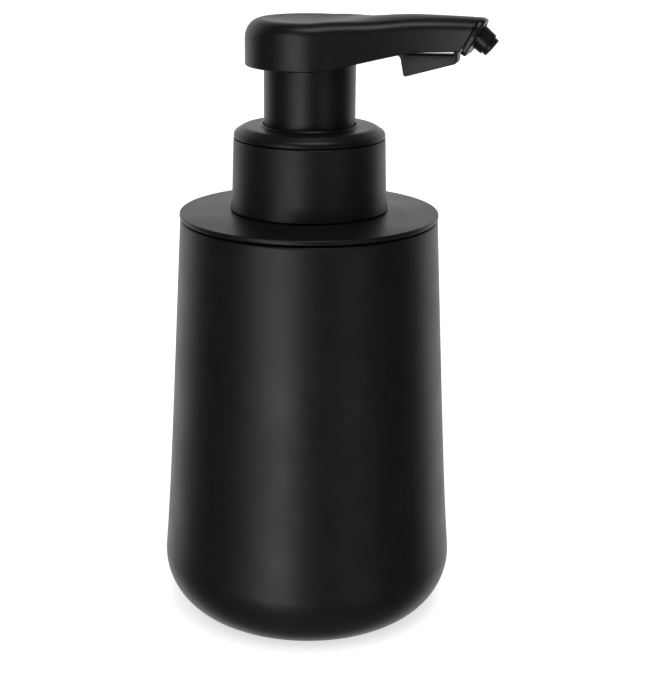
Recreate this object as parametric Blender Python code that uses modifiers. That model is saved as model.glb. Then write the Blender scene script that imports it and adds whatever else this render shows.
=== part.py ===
"""Foaming soap pump dispenser, as the separate pieces that it is put together from.

The bottle's axis is Z, the table is Z = 0, and the spout points along +X.
Every height is stacked up from the table, and every piece that fits in or on
another takes its radius from that piece and a named clearance.
"""

import math

import bmesh
import bpy
from mathutils import Matrix, Vector

MM = 0.001
GAP = 0.3 * MM                      # air between two pieces that touch

# Vessel
BODY_HEIGHT = 115.5 * MM            # table to rim
BODY_TOP_R = 35.5 * MM
BODY_MAX_R = 41.1 * MM
BODY_MAX_Z = 17.5 * MM              # height of the widest place
BODY_FLAT_R = 24.0 * MM             # where the rounded base meets its flat ring
BODY_WALL = 2.2 * MM
BODY_FLOOR = 2.7 * MM
BODY_RIM_ROUND = 0.6 * MM
PAD_R = 20.0 * MM                   # soft foot set into the base
PAD_THICK = 1.5 * MM
PAD_PROUD = 0.4 * MM                # how far the base ring stays off the table

# Lid that plugs into the vessel
LID_OVER = 0.2 * MM                 # how far the lid stands out past the rim
LID_GAP = 0.5 * MM                  # shadow gap between the rim and the lid
LID_EDGE = 1.3 * MM
LID_RISE = 0.9 * MM                 # the top falls gently towards its edge
LID_ROUND = 0.4 * MM
PLUG_DEPTH = 8.0 * MM
PLUG_WALL = 1.8 * MM
PLUG_CLEARANCE = 0.8 * MM
SEAL_HEIGHT = 2.0 * MM
SEAL_DEPTH = 1.0 * MM
SEAL_DROP = 2.6 * MM                # the seal's groove below the lid's underside
NECK_HEIGHT = 13.2 * MM             # screw neck on top of the lid
NECK_WALL = 2.0 * MM

# Collar and its cap
COLLAR_TOP_R = 20.7 * MM
COLLAR_DRAFT = 0.5 * MM             # gained on the way down to the foot
COLLAR_FLARE = 0.5 * MM             # gained over the foot
COLLAR_FOOT_H = 2.6 * MM
COLLAR_HEIGHT = 19.4 * MM
COLLAR_WALL = 1.7 * MM
CAP_HEIGHT = 3.0 * MM
CAP_ROUND = 2.9 * MM
CAP_LIP = 0.5 * MM                  # low lip round the hole for the neck sleeve
CAP_LIP_WIDTH = 0.9 * MM
CAP_SPIGOT_WALL = 1.4 * MM
THREAD_CLEARANCE = 0.4 * MM

# Pump
SLEEVE_R = 12.4 * MM                # the wide neck that goes down with the head
SLEEVE_WALL = 1.4 * MM
PLATE_RECESS = 2.2 * MM             # its plate, which closes the head, above the skirt's rim
PLATE_WALL = 1.2 * MM
HEAD_CLEAR = 16.2 * MM              # head skirt above the cap when it is up
GASKET_THICK = 1.0 * MM
FLANGE_THICK = 1.4 * MM
HOUSING_WALL = 1.2 * MM
AIR_DEPTH = 30.0 * MM
LIQUID_R = 5.0 * MM
LIQUID_LENGTH = 26.0 * MM
LIQUID_PISTON_LENGTH = 4.0 * MM
STEM_R = 4.2 * MM
STEM_HEAD_R = 4.6 * MM
STEM_BORE_R = 1.8 * MM
SPRING_WIRE_R = 0.4 * MM
SPRING_TURNS = 7
DIP_R = 3.0 * MM
DIP_WALL = 0.8 * MM
DIP_SOCKET = 12.0 * MM
DIP_FLOOR_GAP = 2.5 * MM
DIP_STOP = 1.2 * MM                 # wall between the tube's end and the inlet seat
INLET_BALL_R = 2.5 * MM
OUTLET_BALL_R = 2.2 * MM
INLET_BORE_R = 1.6 * MM
OUTLET_BORE_R = 1.2 * MM
SEAT_LENGTH = 2.8 * MM
SEAT_SLOPE = 5.0 / 7.0              # radius gained for each unit of height
CARTRIDGE_R = 6.0 * MM
CARTRIDGE_WALL = 1.3 * MM
CARTRIDGE_LENGTH = 13.5 * MM
SCREEN_THICK = 0.4 * MM

# Head
PAD_HEAD_R = 17.5 * MM              # round end under the thumb
HEAD_DEPTH = 12.4 * MM              # skirt rim to thumb face
HEAD_WALL = 1.6 * MM
HEAD_ROUND = 4.5 * MM
SPOUT_START = 8.0 * MM              # where the flanks leave the round end
SPOUT_REACH = 44.0 * MM             # axis to the middle of the end plate
SPOUT_HALF = 5.8 * MM               # half the spout's width at its tip
CROWN_START = 7.0 * MM
CROWN_BACK = 9.0 * MM               # highest place, back from the end plate
CROWN_RISE = 2.0 * MM
CROWN_FALL = 0.6 * MM               # from there to the end plate
UNDERSIDE_START = 7.2 * MM
UNDERSIDE_RISE = 8.83 * MM          # up to the end plate, if it kept its first slope
UNDERSIDE_LEVELS = 0.89             # share of that slope it loses past the break
UNDERSIDE_SOFT = 3.0 * MM
DUCT_R = 2.6 * MM
DUCT_BORE_R = 1.8 * MM
DUCT_BEND_R = 6.5 * MM
DUCT_RISE = 7.3 * MM                # level part of the duct above the skirt's rim
COVER_RIB = 0.65 * MM                # strip that closes the spout's hollow
TONGUE_HALF = 2.5 * MM              # tongue that hangs under the spout by its two ends
TONGUE_LENGTH = 15.4 * MM
TONGUE_BACK = 3.6 * MM              # its end, back from the end plate
TONGUE_DEEP = 6.1 * MM              # below the skirt's rim at its inner end
TONGUE_SHALLOW = 3.6 * MM           # and at its outer end
TONGUE_ROOT = 2.2 * MM
TONGUE_WALL = 1.0 * MM
SLIT_IN = 0.6 * MM                  # open slit between the rim and the tongue
SLIT_OUT = 1.0 * MM
PLATE_DROP = 2.6 * MM               # end plate's middle below the thumb face
END_PLATE_THICK = 1.6 * MM
END_PLATE_TILT = math.radians(28.0)
END_PLATE_LENGTH = 10.6 * MM
NOZZLE_TILT = math.radians(40.0)
NOZZLE_RAISE = 0.3 * MM             # its root above the middle of the plate
NOZZLE_R = 3.2 * MM
NOZZLE_LENGTH = 3.4 * MM
NOZZLE_TIP_R = 2.6 * MM
NOZZLE_TIP_LENGTH = 1.3 * MM
NOZZLE_BORE_R = 1.6 * MM
NOZZLE_SPIGOT_R = 2.2 * MM

# Fineness of the turned pieces
FINE = 56
MEDIUM = 40
COARSE = 24
SMALL = 20

# Heights stacked up from the table
LID_UNDER = BODY_HEIGHT + LID_GAP
LID_EDGE_TOP = LID_UNDER + LID_EDGE
LID_TOP = LID_EDGE_TOP + LID_RISE
COLLAR_BASE = LID_TOP + GAP
COLLAR_TOP = COLLAR_BASE + COLLAR_HEIGHT
CAP_BASE = COLLAR_TOP + GAP
CAP_TOP = CAP_BASE + CAP_HEIGHT
NECK_TOP = LID_TOP + NECK_HEIGHT
GASKET_BASE = NECK_TOP + GAP
FLANGE_BASE = GASKET_BASE + GASKET_THICK + GAP
FLANGE_TOP = FLANGE_BASE + FLANGE_THICK
AIR_FLOOR = FLANGE_TOP - AIR_DEPTH
LIQUID_FLOOR = AIR_FLOOR - LIQUID_LENGTH
HEAD_RIM = CAP_TOP + HEAD_CLEAR
THUMB_FACE = HEAD_RIM + HEAD_DEPTH

# Radii that follow from the piece outside or inside them
COLLAR_BORE_R = COLLAR_TOP_R - COLLAR_WALL
NECK_R = COLLAR_BORE_R - THREAD_CLEARANCE
NECK_BORE_R = NECK_R - NECK_WALL
AIR_OUTER_R = NECK_BORE_R - THREAD_CLEARANCE
AIR_R = AIR_OUTER_R - HOUSING_WALL
FLANGE_R = NECK_R - GAP
SLEEVE_BORE_R = SLEEVE_R - SLEEVE_WALL
CAP_HOLE_R = SLEEVE_R + GAP
PLUG_R = BODY_TOP_R - BODY_WALL - PLUG_CLEARANCE

# The plunger's pieces, from the liquid piston upwards
PISTON_TOP = AIR_FLOOR - 1.4 * MM
PISTON_BASE = PISTON_TOP - LIQUID_PISTON_LENGTH
STEM_BASE = PISTON_TOP + GAP
WEB_TOP = FLANGE_TOP - 6.9 * MM
WEB_THICK = 1.5 * MM
OUTLET_SEAT = WEB_TOP + 1.5 * MM
STEM_TOP = OUTLET_SEAT + 7.0 * MM
CARTRIDGE_BASE = STEM_TOP + GAP
CARTRIDGE_TOP = CARTRIDGE_BASE + CARTRIDGE_LENGTH

# Radii and places that follow from their neighbours
LID_R = BODY_TOP_R + LID_OVER
COLLAR_R = COLLAR_TOP_R + COLLAR_DRAFT
COLLAR_FOOT_R = COLLAR_R + COLLAR_FLARE
CROWN_TOP = SPOUT_REACH - CROWN_BACK
UNDERSIDE_BREAK = SPOUT_REACH * 2.0 / 3.0
UNDERSIDE_SLOPE = UNDERSIDE_RISE / (SPOUT_REACH - UNDERSIDE_START)
UNDERSIDE_EASE = UNDERSIDE_SLOPE * UNDERSIDE_LEVELS
TONGUE_END = SPOUT_REACH - TONGUE_BACK
TONGUE_START = TONGUE_END - TONGUE_LENGTH

# Slanted end of the spout
PLATE_AXIS = Vector((math.cos(END_PLATE_TILT), 0.0, -math.sin(END_PLATE_TILT)))
NOZZLE_AXIS = Vector((math.cos(NOZZLE_TILT), 0.0, -math.sin(NOZZLE_TILT)))
PLATE_CENTRE = Vector((SPOUT_REACH, 0.0, THUMB_FACE - PLATE_DROP))
PLATE_UP = Vector((math.sin(END_PLATE_TILT), 0.0, math.cos(END_PLATE_TILT)))
NOZZLE_ROOT = PLATE_CENTRE + PLATE_AXIS * END_PLATE_THICK + PLATE_UP * NOZZLE_RAISE
DUCT_LEVEL = HEAD_RIM + DUCT_RISE
DUCT_END_Z = PLATE_CENTRE.z - 0.3 * MM
DUCT_END_X = SPOUT_REACH - 3.2 * MM

INK = (0.012, 0.012, 0.013)
MILKY = (0.72, 0.73, 0.72)


def start_collections():
    """Empty the file and make one collection for the pieces and one for the cutters."""
    for old in list(bpy.data.objects):
        bpy.data.objects.remove(old, do_unlink=True)
    for name in ("soap_pump_dispenser", "cutters"):
        bpy.context.scene.collection.children.link(bpy.data.collections.new(name))


def material(name, colour, roughness, metallic=0.0):
    made = bpy.data.materials.new(name)
    made.use_nodes = True
    surface = made.node_tree.nodes["Principled BSDF"]
    surface.inputs["Base Color"].default_value = (*colour, 1.0)
    surface.inputs["Roughness"].default_value = roughness
    surface.inputs["Metallic"].default_value = metallic
    return made


def place(name, mesh, finish=None):
    """Put a mesh in the pieces, or in the cutters when it has no finish."""
    thing = bpy.data.objects.new(name, mesh)
    if finish is None:
        bpy.data.collections["cutters"].objects.link(thing)
        thing.hide_render = True
        thing.display_type = "WIRE"
    else:
        bpy.data.collections["soap_pump_dispenser"].objects.link(thing)
        mesh.materials.append(finish)
    return thing


def mesh_from(form, name):
    """Turn a bmesh into a mesh with its faces out and its round sides smooth."""
    bmesh.ops.recalc_face_normals(form, faces=form.faces)
    mesh = bpy.data.meshes.new(name)
    form.to_mesh(mesh)
    form.free()
    mesh.shade_smooth()
    mesh.set_sharp_from_angle(angle=math.radians(35.0))
    return mesh


def arc(centre_r, centre_z, radius_r, radius_z, start, end, count):
    """Points along an arc in the turning plane, angles in degrees from +R."""
    points = []
    for step in range(count + 1):
        angle = math.radians(start + (end - start) * step / count)
        points.append((centre_r + radius_r * math.cos(angle), centre_z + radius_z * math.sin(angle)))
    return points


def turned(name, profile, finish, steps):
    """Turn a profile about Z: it runs down its outer side and back up its inner side."""
    mesh = bpy.data.meshes.new(name)
    on_axis = profile[0][0] == 0.0 and profile[-1][0] == 0.0
    edges = [(i, i + 1) for i in range(len(profile) - 1)]
    if not on_axis:
        edges.append((len(profile) - 1, 0))
    mesh.from_pydata([(r, 0.0, z) for r, z in profile], edges, [])
    thing = place(name, mesh, finish)
    screw = thing.modifiers.new("turn", "SCREW")
    screw.axis = "Z"
    screw.steps = steps
    screw.render_steps = steps
    screw.use_merge_vertices = True
    screw.merge_threshold = 0.00001
    screw.use_smooth_shade = True
    return thing


def cut(thing, cutter, operation="DIFFERENCE"):
    step = thing.modifiers.new(operation.lower(), "BOOLEAN")
    step.operation = operation
    step.object = cutter
    step.solver = "EXACT"


def rod(name, points, radius):
    """A capped round rod along a list of points, as a closed mesh."""
    data = bpy.data.curves.new(name, "CURVE")
    data.dimensions = "3D"
    data.bevel_depth = radius
    data.bevel_resolution = 3
    data.use_fill_caps = True
    line = data.splines.new("POLY")
    line.points.add(len(points) - 1)
    for point, place_of in zip(line.points, points):
        point.co = (*place_of, 1.0)
    guide = bpy.data.objects.new(name + "_line", data)
    bpy.context.scene.collection.objects.link(guide)
    view = bpy.context.evaluated_depsgraph_get()
    mesh = bpy.data.meshes.new_from_object(guide.evaluated_get(view))
    bpy.data.objects.remove(guide, do_unlink=True)
    form = bmesh.new()
    form.from_mesh(mesh)
    bmesh.ops.remove_doubles(form, verts=form.verts, dist=0.000002)
    return place(name, mesh_from(form, name))


def loft(form, rows):
    """Join rows of points, each as long as the next, with four-sided faces."""
    grid = [[form.verts.new(point) for point in row] for row in rows]
    for lower, upper in zip(grid, grid[1:]):
        for i in range(len(lower) - 1):
            form.faces.new((lower[i], lower[i + 1], upper[i + 1], upper[i]))
    return grid


def ladder(form, row):
    """Close a row that is the same on both sides of Y = 0 with rungs across it."""
    last = len(row) - 1
    for i in range(last // 2):
        corners = (row[i], row[i + 1], row[last - i - 1], row[last - i])
        form.faces.new(tuple(dict.fromkeys(corners)))


def prism(name, outline, half_wide, edge):
    """An outline in the XZ plane, pulled out to both sides, with rounded edges."""
    form = bmesh.new()
    corners = [form.verts.new((x, -half_wide, z)) for x, z in outline]
    face = form.faces.new(corners)
    pulled = bmesh.ops.extrude_face_region(form, geom=[face])
    far = [v for v in pulled["geom"] if isinstance(v, bmesh.types.BMVert)]
    bmesh.ops.translate(form, verts=far, vec=(0.0, 2.0 * half_wide, 0.0))
    bmesh.ops.bevel(form, geom=list(form.edges), offset=edge, segments=2, profile=0.5,
                    affect="EDGES", material=-1)
    return place(name, mesh_from(form, name))


# --- vessel and lid -------------------------------------------------------

def body_radius(z):
    """Outer radius of the vessel's side: a straight draft with a slight flare low down."""
    fall = (BODY_HEIGHT - z) / (BODY_HEIGHT - BODY_MAX_Z)
    return BODY_TOP_R + (BODY_MAX_R - BODY_TOP_R) * (0.9 * fall + 0.1 * fall ** 6)


def body_side(inset, count):
    heights = [BODY_HEIGHT - BODY_RIM_ROUND - (BODY_HEIGHT - BODY_RIM_ROUND - BODY_MAX_Z) * i / count
               for i in range(count)]
    return [(body_radius(z) - inset, z) for z in heights]


def body_shell(finish):
    recess_r = PAD_R + GAP
    recess_top = PAD_THICK + GAP
    floor_top = recess_top + BODY_FLOOR
    outer_round = BODY_MAX_R - BODY_FLAT_R
    inner_round = outer_round - BODY_WALL
    rim_centre = BODY_TOP_R - BODY_RIM_ROUND
    profile = arc(rim_centre, BODY_HEIGHT - BODY_RIM_ROUND, BODY_RIM_ROUND, BODY_RIM_ROUND, 90, 30, 2)
    profile += body_side(0.0, 8)
    profile += arc(BODY_FLAT_R, BODY_MAX_Z, outer_round, BODY_MAX_Z - PAD_PROUD, 0, -90, 8)
    profile += [(recess_r, PAD_PROUD), (recess_r, recess_top), (0.0, recess_top)]
    profile += [(0.0, floor_top)]
    profile += arc(BODY_FLAT_R, BODY_MAX_Z, inner_round, BODY_MAX_Z - floor_top, -90, 0, 5)
    profile += list(reversed(body_side(BODY_WALL, 4)))
    profile += [(BODY_TOP_R - BODY_WALL, BODY_HEIGHT)]
    return vessel_mesh("body_shell", profile, finish)


def vessel_mesh(name, profile, finish):
    """Turn a cup whose outline touches the axis under and over its floor."""
    touch = [i for i, point in enumerate(profile) if point[0] == 0.0]
    ordered = profile[touch[1]:] + profile[:touch[1]]
    return turned(name, ordered, finish, FINE)


def foot_pad(finish):
    profile = [(0.0, PAD_THICK), (PAD_R, PAD_THICK), (PAD_R, 0.3 * MM), (PAD_R - 0.3 * MM, 0.0), (0.0, 0.0)]
    return turned("foot_pad", profile, finish, MEDIUM)


def lid_plate(finish):
    groove_r = PLUG_R - SEAL_DEPTH
    groove_top = LID_UNDER - SEAL_DROP
    groove_base = groove_top - SEAL_HEIGHT - 2.0 * GAP
    plug_base = LID_UNDER - PLUG_DEPTH
    profile = [(NECK_BORE_R, NECK_TOP), (NECK_R, NECK_TOP), (NECK_R, LID_TOP), (COLLAR_FOOT_R, LID_TOP)]
    profile += arc(LID_R - LID_ROUND, LID_EDGE_TOP - LID_ROUND, LID_ROUND, LID_ROUND, 90, 0, 2)
    profile += arc(LID_R - LID_ROUND, LID_UNDER + LID_ROUND, LID_ROUND, LID_ROUND, 0, -90, 2)
    profile += [(PLUG_R, LID_UNDER), (PLUG_R, groove_top), (groove_r, groove_top)]
    profile += [(groove_r, groove_base), (PLUG_R, groove_base), (PLUG_R, plug_base)]
    profile += [(groove_r - PLUG_WALL, plug_base), (groove_r - PLUG_WALL, LID_UNDER)]
    profile += [(NECK_BORE_R, LID_UNDER)]
    return turned("lid_plate", profile, finish, FINE)


def lid_seal(finish):
    inner = PLUG_R - SEAL_DEPTH + GAP
    outer = BODY_TOP_R - BODY_WALL - GAP
    top = LID_UNDER - SEAL_DROP - GAP
    base = top - SEAL_HEIGHT
    middle = (top + base) / 2.0
    lip = outer - 0.5 * MM
    profile = [(inner, top), (lip, top), (outer, middle), (lip, base), (inner, base)]
    return turned("lid_seal", profile, finish, FINE)


# --- collar ---------------------------------------------------------------

def collar(finish):
    foot = COLLAR_BASE + COLLAR_FOOT_H
    profile = [(COLLAR_BORE_R, COLLAR_TOP), (COLLAR_TOP_R, COLLAR_TOP), (COLLAR_R, foot)]
    profile += [(COLLAR_R + 0.15 * MM, foot - 1.2 * MM), (COLLAR_FOOT_R, COLLAR_BASE + 0.3 * MM)]
    profile += [(COLLAR_FOOT_R - 0.2 * MM, COLLAR_BASE), (COLLAR_BORE_R, COLLAR_BASE)]
    return turned("collar", profile, finish, MEDIUM)


def collar_cap(finish):
    spigot_r = COLLAR_BORE_R - GAP
    spigot_base = FLANGE_TOP + GAP
    profile = [(CAP_HOLE_R, CAP_TOP + CAP_LIP), (CAP_HOLE_R + CAP_LIP_WIDTH / 2.0, CAP_TOP + CAP_LIP)]
    profile += [(CAP_HOLE_R + CAP_LIP_WIDTH, CAP_TOP)]
    profile += arc(COLLAR_TOP_R - CAP_ROUND, CAP_TOP - CAP_ROUND, CAP_ROUND, CAP_ROUND, 90, 0, 5)
    profile += [(COLLAR_TOP_R, CAP_BASE), (spigot_r, CAP_BASE), (spigot_r, spigot_base)]
    profile += [(spigot_r - CAP_SPIGOT_WALL, spigot_base), (spigot_r - CAP_SPIGOT_WALL, CAP_BASE + 0.6 * MM)]
    profile += [(CAP_HOLE_R + 1.4 * MM, CAP_BASE + 0.6 * MM), (CAP_HOLE_R + 1.4 * MM, spigot_base)]
    profile += [(CAP_HOLE_R, spigot_base)]
    return turned("collar_cap", profile, finish, MEDIUM)


# --- pump: the pieces that stay with the lid ------------------------------

def housing_gasket(finish):
    top = GASKET_BASE + GASKET_THICK
    inner = AIR_OUTER_R + GAP
    profile = [(inner, top), (FLANGE_R, top), (FLANGE_R, GASKET_BASE), (inner, GASKET_BASE)]
    return turned("housing_gasket", profile, finish, MEDIUM)


def pump_housing(finish):
    liquid_outer = LIQUID_R + HOUSING_WALL
    socket_r = DIP_R + GAP
    socket_outer = socket_r + HOUSING_WALL
    seat_base = LIQUID_FLOOR - SEAT_LENGTH
    socket_top = seat_base - DIP_STOP
    socket_base = socket_top - DIP_SOCKET
    seat_top_r = INLET_BORE_R + SEAT_LENGTH * SEAT_SLOPE
    profile = [(AIR_R, FLANGE_TOP), (FLANGE_R, FLANGE_TOP), (FLANGE_R, FLANGE_BASE)]
    profile += [(AIR_OUTER_R, FLANGE_BASE)]
    profile += [(AIR_OUTER_R, AIR_FLOOR), (AIR_OUTER_R - HOUSING_WALL, AIR_FLOOR - HOUSING_WALL)]
    profile += [(liquid_outer, AIR_FLOOR - HOUSING_WALL), (liquid_outer, seat_base)]
    profile += [(socket_outer, socket_top), (socket_outer, socket_base), (socket_r, socket_base)]
    profile += [(socket_r, socket_top), (INLET_BORE_R, socket_top), (INLET_BORE_R, seat_base)]
    profile += [(seat_top_r, LIQUID_FLOOR), (LIQUID_R, LIQUID_FLOOR)]
    profile += [(LIQUID_R, AIR_FLOOR), (AIR_R, AIR_FLOOR)]
    return turned("pump_housing", profile, finish, MEDIUM)


def dip_tube(finish):
    socket_top = LIQUID_FLOOR - SEAT_LENGTH - DIP_STOP
    top = socket_top - GAP
    base = PAD_THICK + GAP + BODY_FLOOR + DIP_FLOOR_GAP
    inner = DIP_R - DIP_WALL
    profile = [(inner, top), (DIP_R, top), (DIP_R, base), (inner, base)]
    return turned("dip_tube", profile, finish, SMALL)


def ball(name, seat_z, bore_r, radius, finish):
    """A check-valve ball lying on the cone that opens upwards from a bore at seat_z."""
    half_angle = math.atan(SEAT_SLOPE)
    apex = seat_z - bore_r / SEAT_SLOPE
    centre = apex + (radius + GAP) / math.sin(half_angle)
    form = bmesh.new()
    bmesh.ops.create_uvsphere(form, u_segments=16, v_segments=10, radius=radius)
    made = place(name, mesh_from(form, name), finish)
    made.location = (0.0, 0.0, centre)
    return made


def return_spring(finish):
    base = LIQUID_FLOOR + GAP + SPRING_WIRE_R
    top = PISTON_BASE - GAP - SPRING_WIRE_R
    radius = LIQUID_R - GAP - 0.1 * MM - SPRING_WIRE_R
    sides = 14
    count = SPRING_TURNS * sides
    points = []
    for step in range(count + 1):
        turn = 2.0 * math.pi * step / sides
        points.append((radius * math.cos(turn), radius * math.sin(turn), base + (top - base) * step / count))
    return coil("return_spring", points, SPRING_WIRE_R, finish)


def coil(name, points, radius, finish):
    """A thin wire along many points, with six sides."""
    data = bpy.data.curves.new(name, "CURVE")
    data.dimensions = "3D"
    data.bevel_depth = radius
    data.bevel_resolution = 1
    data.use_fill_caps = True
    line = data.splines.new("POLY")
    line.points.add(len(points) - 1)
    for point, spot in zip(line.points, points):
        point.co = (*spot, 1.0)
    data.materials.append(finish)
    made = bpy.data.objects.new(name, data)
    bpy.data.collections["soap_pump_dispenser"].objects.link(made)
    return made


# --- plunger: the pieces that go down with the head -----------------------

def liquid_piston(finish):
    outer = LIQUID_R - GAP
    waist = outer - 0.7 * MM
    middle = (PISTON_TOP + PISTON_BASE) / 2.0
    profile = [(STEM_BORE_R, PISTON_TOP), (outer, PISTON_TOP), (waist, middle), (outer, PISTON_BASE)]
    profile += [(STEM_BORE_R, PISTON_BASE)]
    return turned("liquid_piston", profile, finish, COARSE)


def piston_stem(finish):
    chamber_r = OUTLET_BORE_R + SEAT_LENGTH * SEAT_SLOPE
    shoulder = WEB_TOP - 6.0 * MM
    profile = [(chamber_r, STEM_TOP), (STEM_HEAD_R, STEM_TOP), (STEM_HEAD_R, shoulder)]
    profile += [(STEM_R, shoulder - 1.0 * MM), (STEM_R, STEM_BASE), (STEM_BORE_R, STEM_BASE)]
    profile += [(STEM_BORE_R, OUTLET_SEAT - 1.0 * MM), (OUTLET_BORE_R, OUTLET_SEAT - 1.0 * MM)]
    profile += [(OUTLET_BORE_R, OUTLET_SEAT), (chamber_r, OUTLET_SEAT + SEAT_LENGTH)]
    return turned("piston_stem", profile, finish, COARSE)


def air_piston(finish):
    outer = AIR_R - GAP
    web_base = WEB_TOP - WEB_THICK
    hub = STEM_HEAD_R + GAP
    boss_outer = SLEEVE_BORE_R - GAP
    boss_inner = boss_outer - 1.2 * MM
    profile = [(hub, WEB_TOP + 1.5 * MM), (hub + 1.3 * MM, WEB_TOP + 1.5 * MM), (hub + 1.3 * MM, WEB_TOP)]
    profile += [(boss_inner, WEB_TOP), (boss_inner, WEB_TOP + 3.5 * MM), (boss_outer, WEB_TOP + 3.5 * MM)]
    profile += [(boss_outer, WEB_TOP), (outer - 0.8 * MM, WEB_TOP), (outer, WEB_TOP + 3.0 * MM)]
    profile += [(outer, WEB_TOP + 2.0 * MM), (outer - 0.5 * MM, WEB_TOP - WEB_THICK / 2.0)]
    profile += [(outer, web_base - 2.0 * MM), (outer, web_base - 3.0 * MM), (outer - 0.8 * MM, web_base)]
    profile += [(hub, web_base)]
    return turned("air_piston", profile, finish, MEDIUM)


def air_valve(finish):
    """Soft disc under the air piston that lets air back in as the head rises."""
    top = WEB_TOP - WEB_THICK - GAP
    inner = STEM_HEAD_R + GAP
    outer = AIR_R - 4.0 * MM
    profile = [(inner, top), (outer, top), (outer, top - 0.4 * MM), (inner + 1.2 * MM, top - 0.9 * MM)]
    profile += [(inner, top - 0.9 * MM)]
    return turned("air_valve", profile, finish, COARSE)


def mesh_cartridge(finish):
    bore = CARTRIDGE_R - CARTRIDGE_WALL
    floor = CARTRIDGE_BASE + 1.2 * MM
    profile = [(bore, CARTRIDGE_TOP), (CARTRIDGE_R, CARTRIDGE_TOP), (CARTRIDGE_R, CARTRIDGE_BASE)]
    profile += [(OUTLET_BORE_R, CARTRIDGE_BASE), (OUTLET_BORE_R, floor), (bore - 0.8 * MM, floor)]
    profile += [(bore - 0.8 * MM, floor + 1.0 * MM), (bore, floor + 1.0 * MM)]
    return turned("mesh_cartridge", profile, finish, COARSE)


def mesh_screen(name, z, finish):
    """A thin disc with rings of round holes."""
    outer = CARTRIDGE_R - CARTRIDGE_WALL - GAP
    form = bmesh.new()
    bmesh.ops.create_cone(form, cap_ends=True, segments=SMALL, radius1=outer, radius2=outer,
                          depth=SCREEN_THICK)
    screen = place(name, mesh_from(form, name), finish)
    screen.location = (0.0, 0.0, z)
    holes = bmesh.new()
    for ring, count in ((0, 1), (1, 6), (2, 12)):
        for step in range(count):
            turn = 2.0 * math.pi * step / count
            spot = Vector((ring * 1.55 * MM * math.cos(turn), ring * 1.55 * MM * math.sin(turn), z))
            bmesh.ops.create_cone(holes, cap_ends=True, segments=6, radius1=0.55 * MM, radius2=0.55 * MM,
                                  depth=4.0 * SCREEN_THICK, matrix=Matrix.Translation(spot))
    cut(screen, place(name + "_holes", mesh_from(holes, name + "_holes")))
    return screen


# --- head -----------------------------------------------------------------

def neck_sleeve(finish):
    base = WEB_TOP + GAP
    plate_base = HEAD_RIM + PLATE_RECESS
    top = plate_base + PLATE_WALL
    plate_r = PAD_HEAD_R - HEAD_WALL - GAP
    profile = [(SLEEVE_BORE_R, top), (plate_r, top), (plate_r, plate_base), (SLEEVE_R, plate_base)]
    profile += [(SLEEVE_R, base), (SLEEVE_BORE_R, base)]
    return turned("neck_sleeve", profile, finish, MEDIUM)


def half_width(x):
    """Half the head's width: a circle that runs into a slimmer spout."""
    if x <= SPOUT_START:
        return math.sqrt(max(PAD_HEAD_R ** 2 - x ** 2, 0.0))
    start = math.sqrt(PAD_HEAD_R ** 2 - SPOUT_START ** 2)
    span = SPOUT_REACH - SPOUT_START
    t = min((x - SPOUT_START) / span, 1.0)
    start_slope = -SPOUT_START / start * span
    end_slope = -0.03 * span
    blend = (2 * t ** 3 - 3 * t ** 2 + 1) * start + (t ** 3 - 2 * t ** 2 + t) * start_slope
    return blend + (3 * t ** 2 - 2 * t ** 3) * SPOUT_HALF + (t ** 3 - t ** 2) * end_slope


def head_outline(inset, reach):
    """Half of the plan's outline from the spout's end round to the back, then its mirror."""
    half = []
    flank_steps = 12
    for step in range(flank_steps):
        x = reach + (SPOUT_START - reach) * step / flank_steps
        slope = (half_width(x + 0.01 * MM) - half_width(x - 0.01 * MM)) / (0.02 * MM)
        length = math.hypot(slope, 1.0)
        shift = 0.0 if step == 0 else inset * slope / length
        half.append((x + shift, -(half_width(x) - inset / length)))
    tangent = math.acos(SPOUT_START / PAD_HEAD_R)
    arc_steps = 14
    for step in range(arc_steps):
        angle = tangent + (math.pi - tangent) * step / arc_steps
        radius = PAD_HEAD_R - inset
        half.append((radius * math.cos(angle), -radius * math.sin(angle)))
    mirrored = [(x, -y) for x, y in reversed(half)]
    return half + [(inset - PAD_HEAD_R, 0.0)] + mirrored


def crown(x):
    """Height of the top along the spout: level under the thumb, then a low arch."""
    t = min(max((x - CROWN_START) / (CROWN_TOP - CROWN_START), 0.0), 1.0)
    rise = CROWN_RISE * t * t * (3.0 - 2.0 * t)
    past = max(x - CROWN_TOP, 0.0) / (SPOUT_REACH - CROWN_TOP)
    return THUMB_FACE + rise - CROWN_FALL * past * past


def soft_ramp(x):
    """Nought before zero and x after it, with a soft turn between."""
    return (x + math.hypot(x, UNDERSIDE_SOFT)) / 2.0


def underside(x):
    """Height of the skirt's rim: level round the neck, rising under the spout."""
    rise = UNDERSIDE_SLOPE * soft_ramp(x - UNDERSIDE_START)
    return HEAD_RIM + rise - UNDERSIDE_EASE * soft_ramp(x - UNDERSIDE_BREAK)


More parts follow.
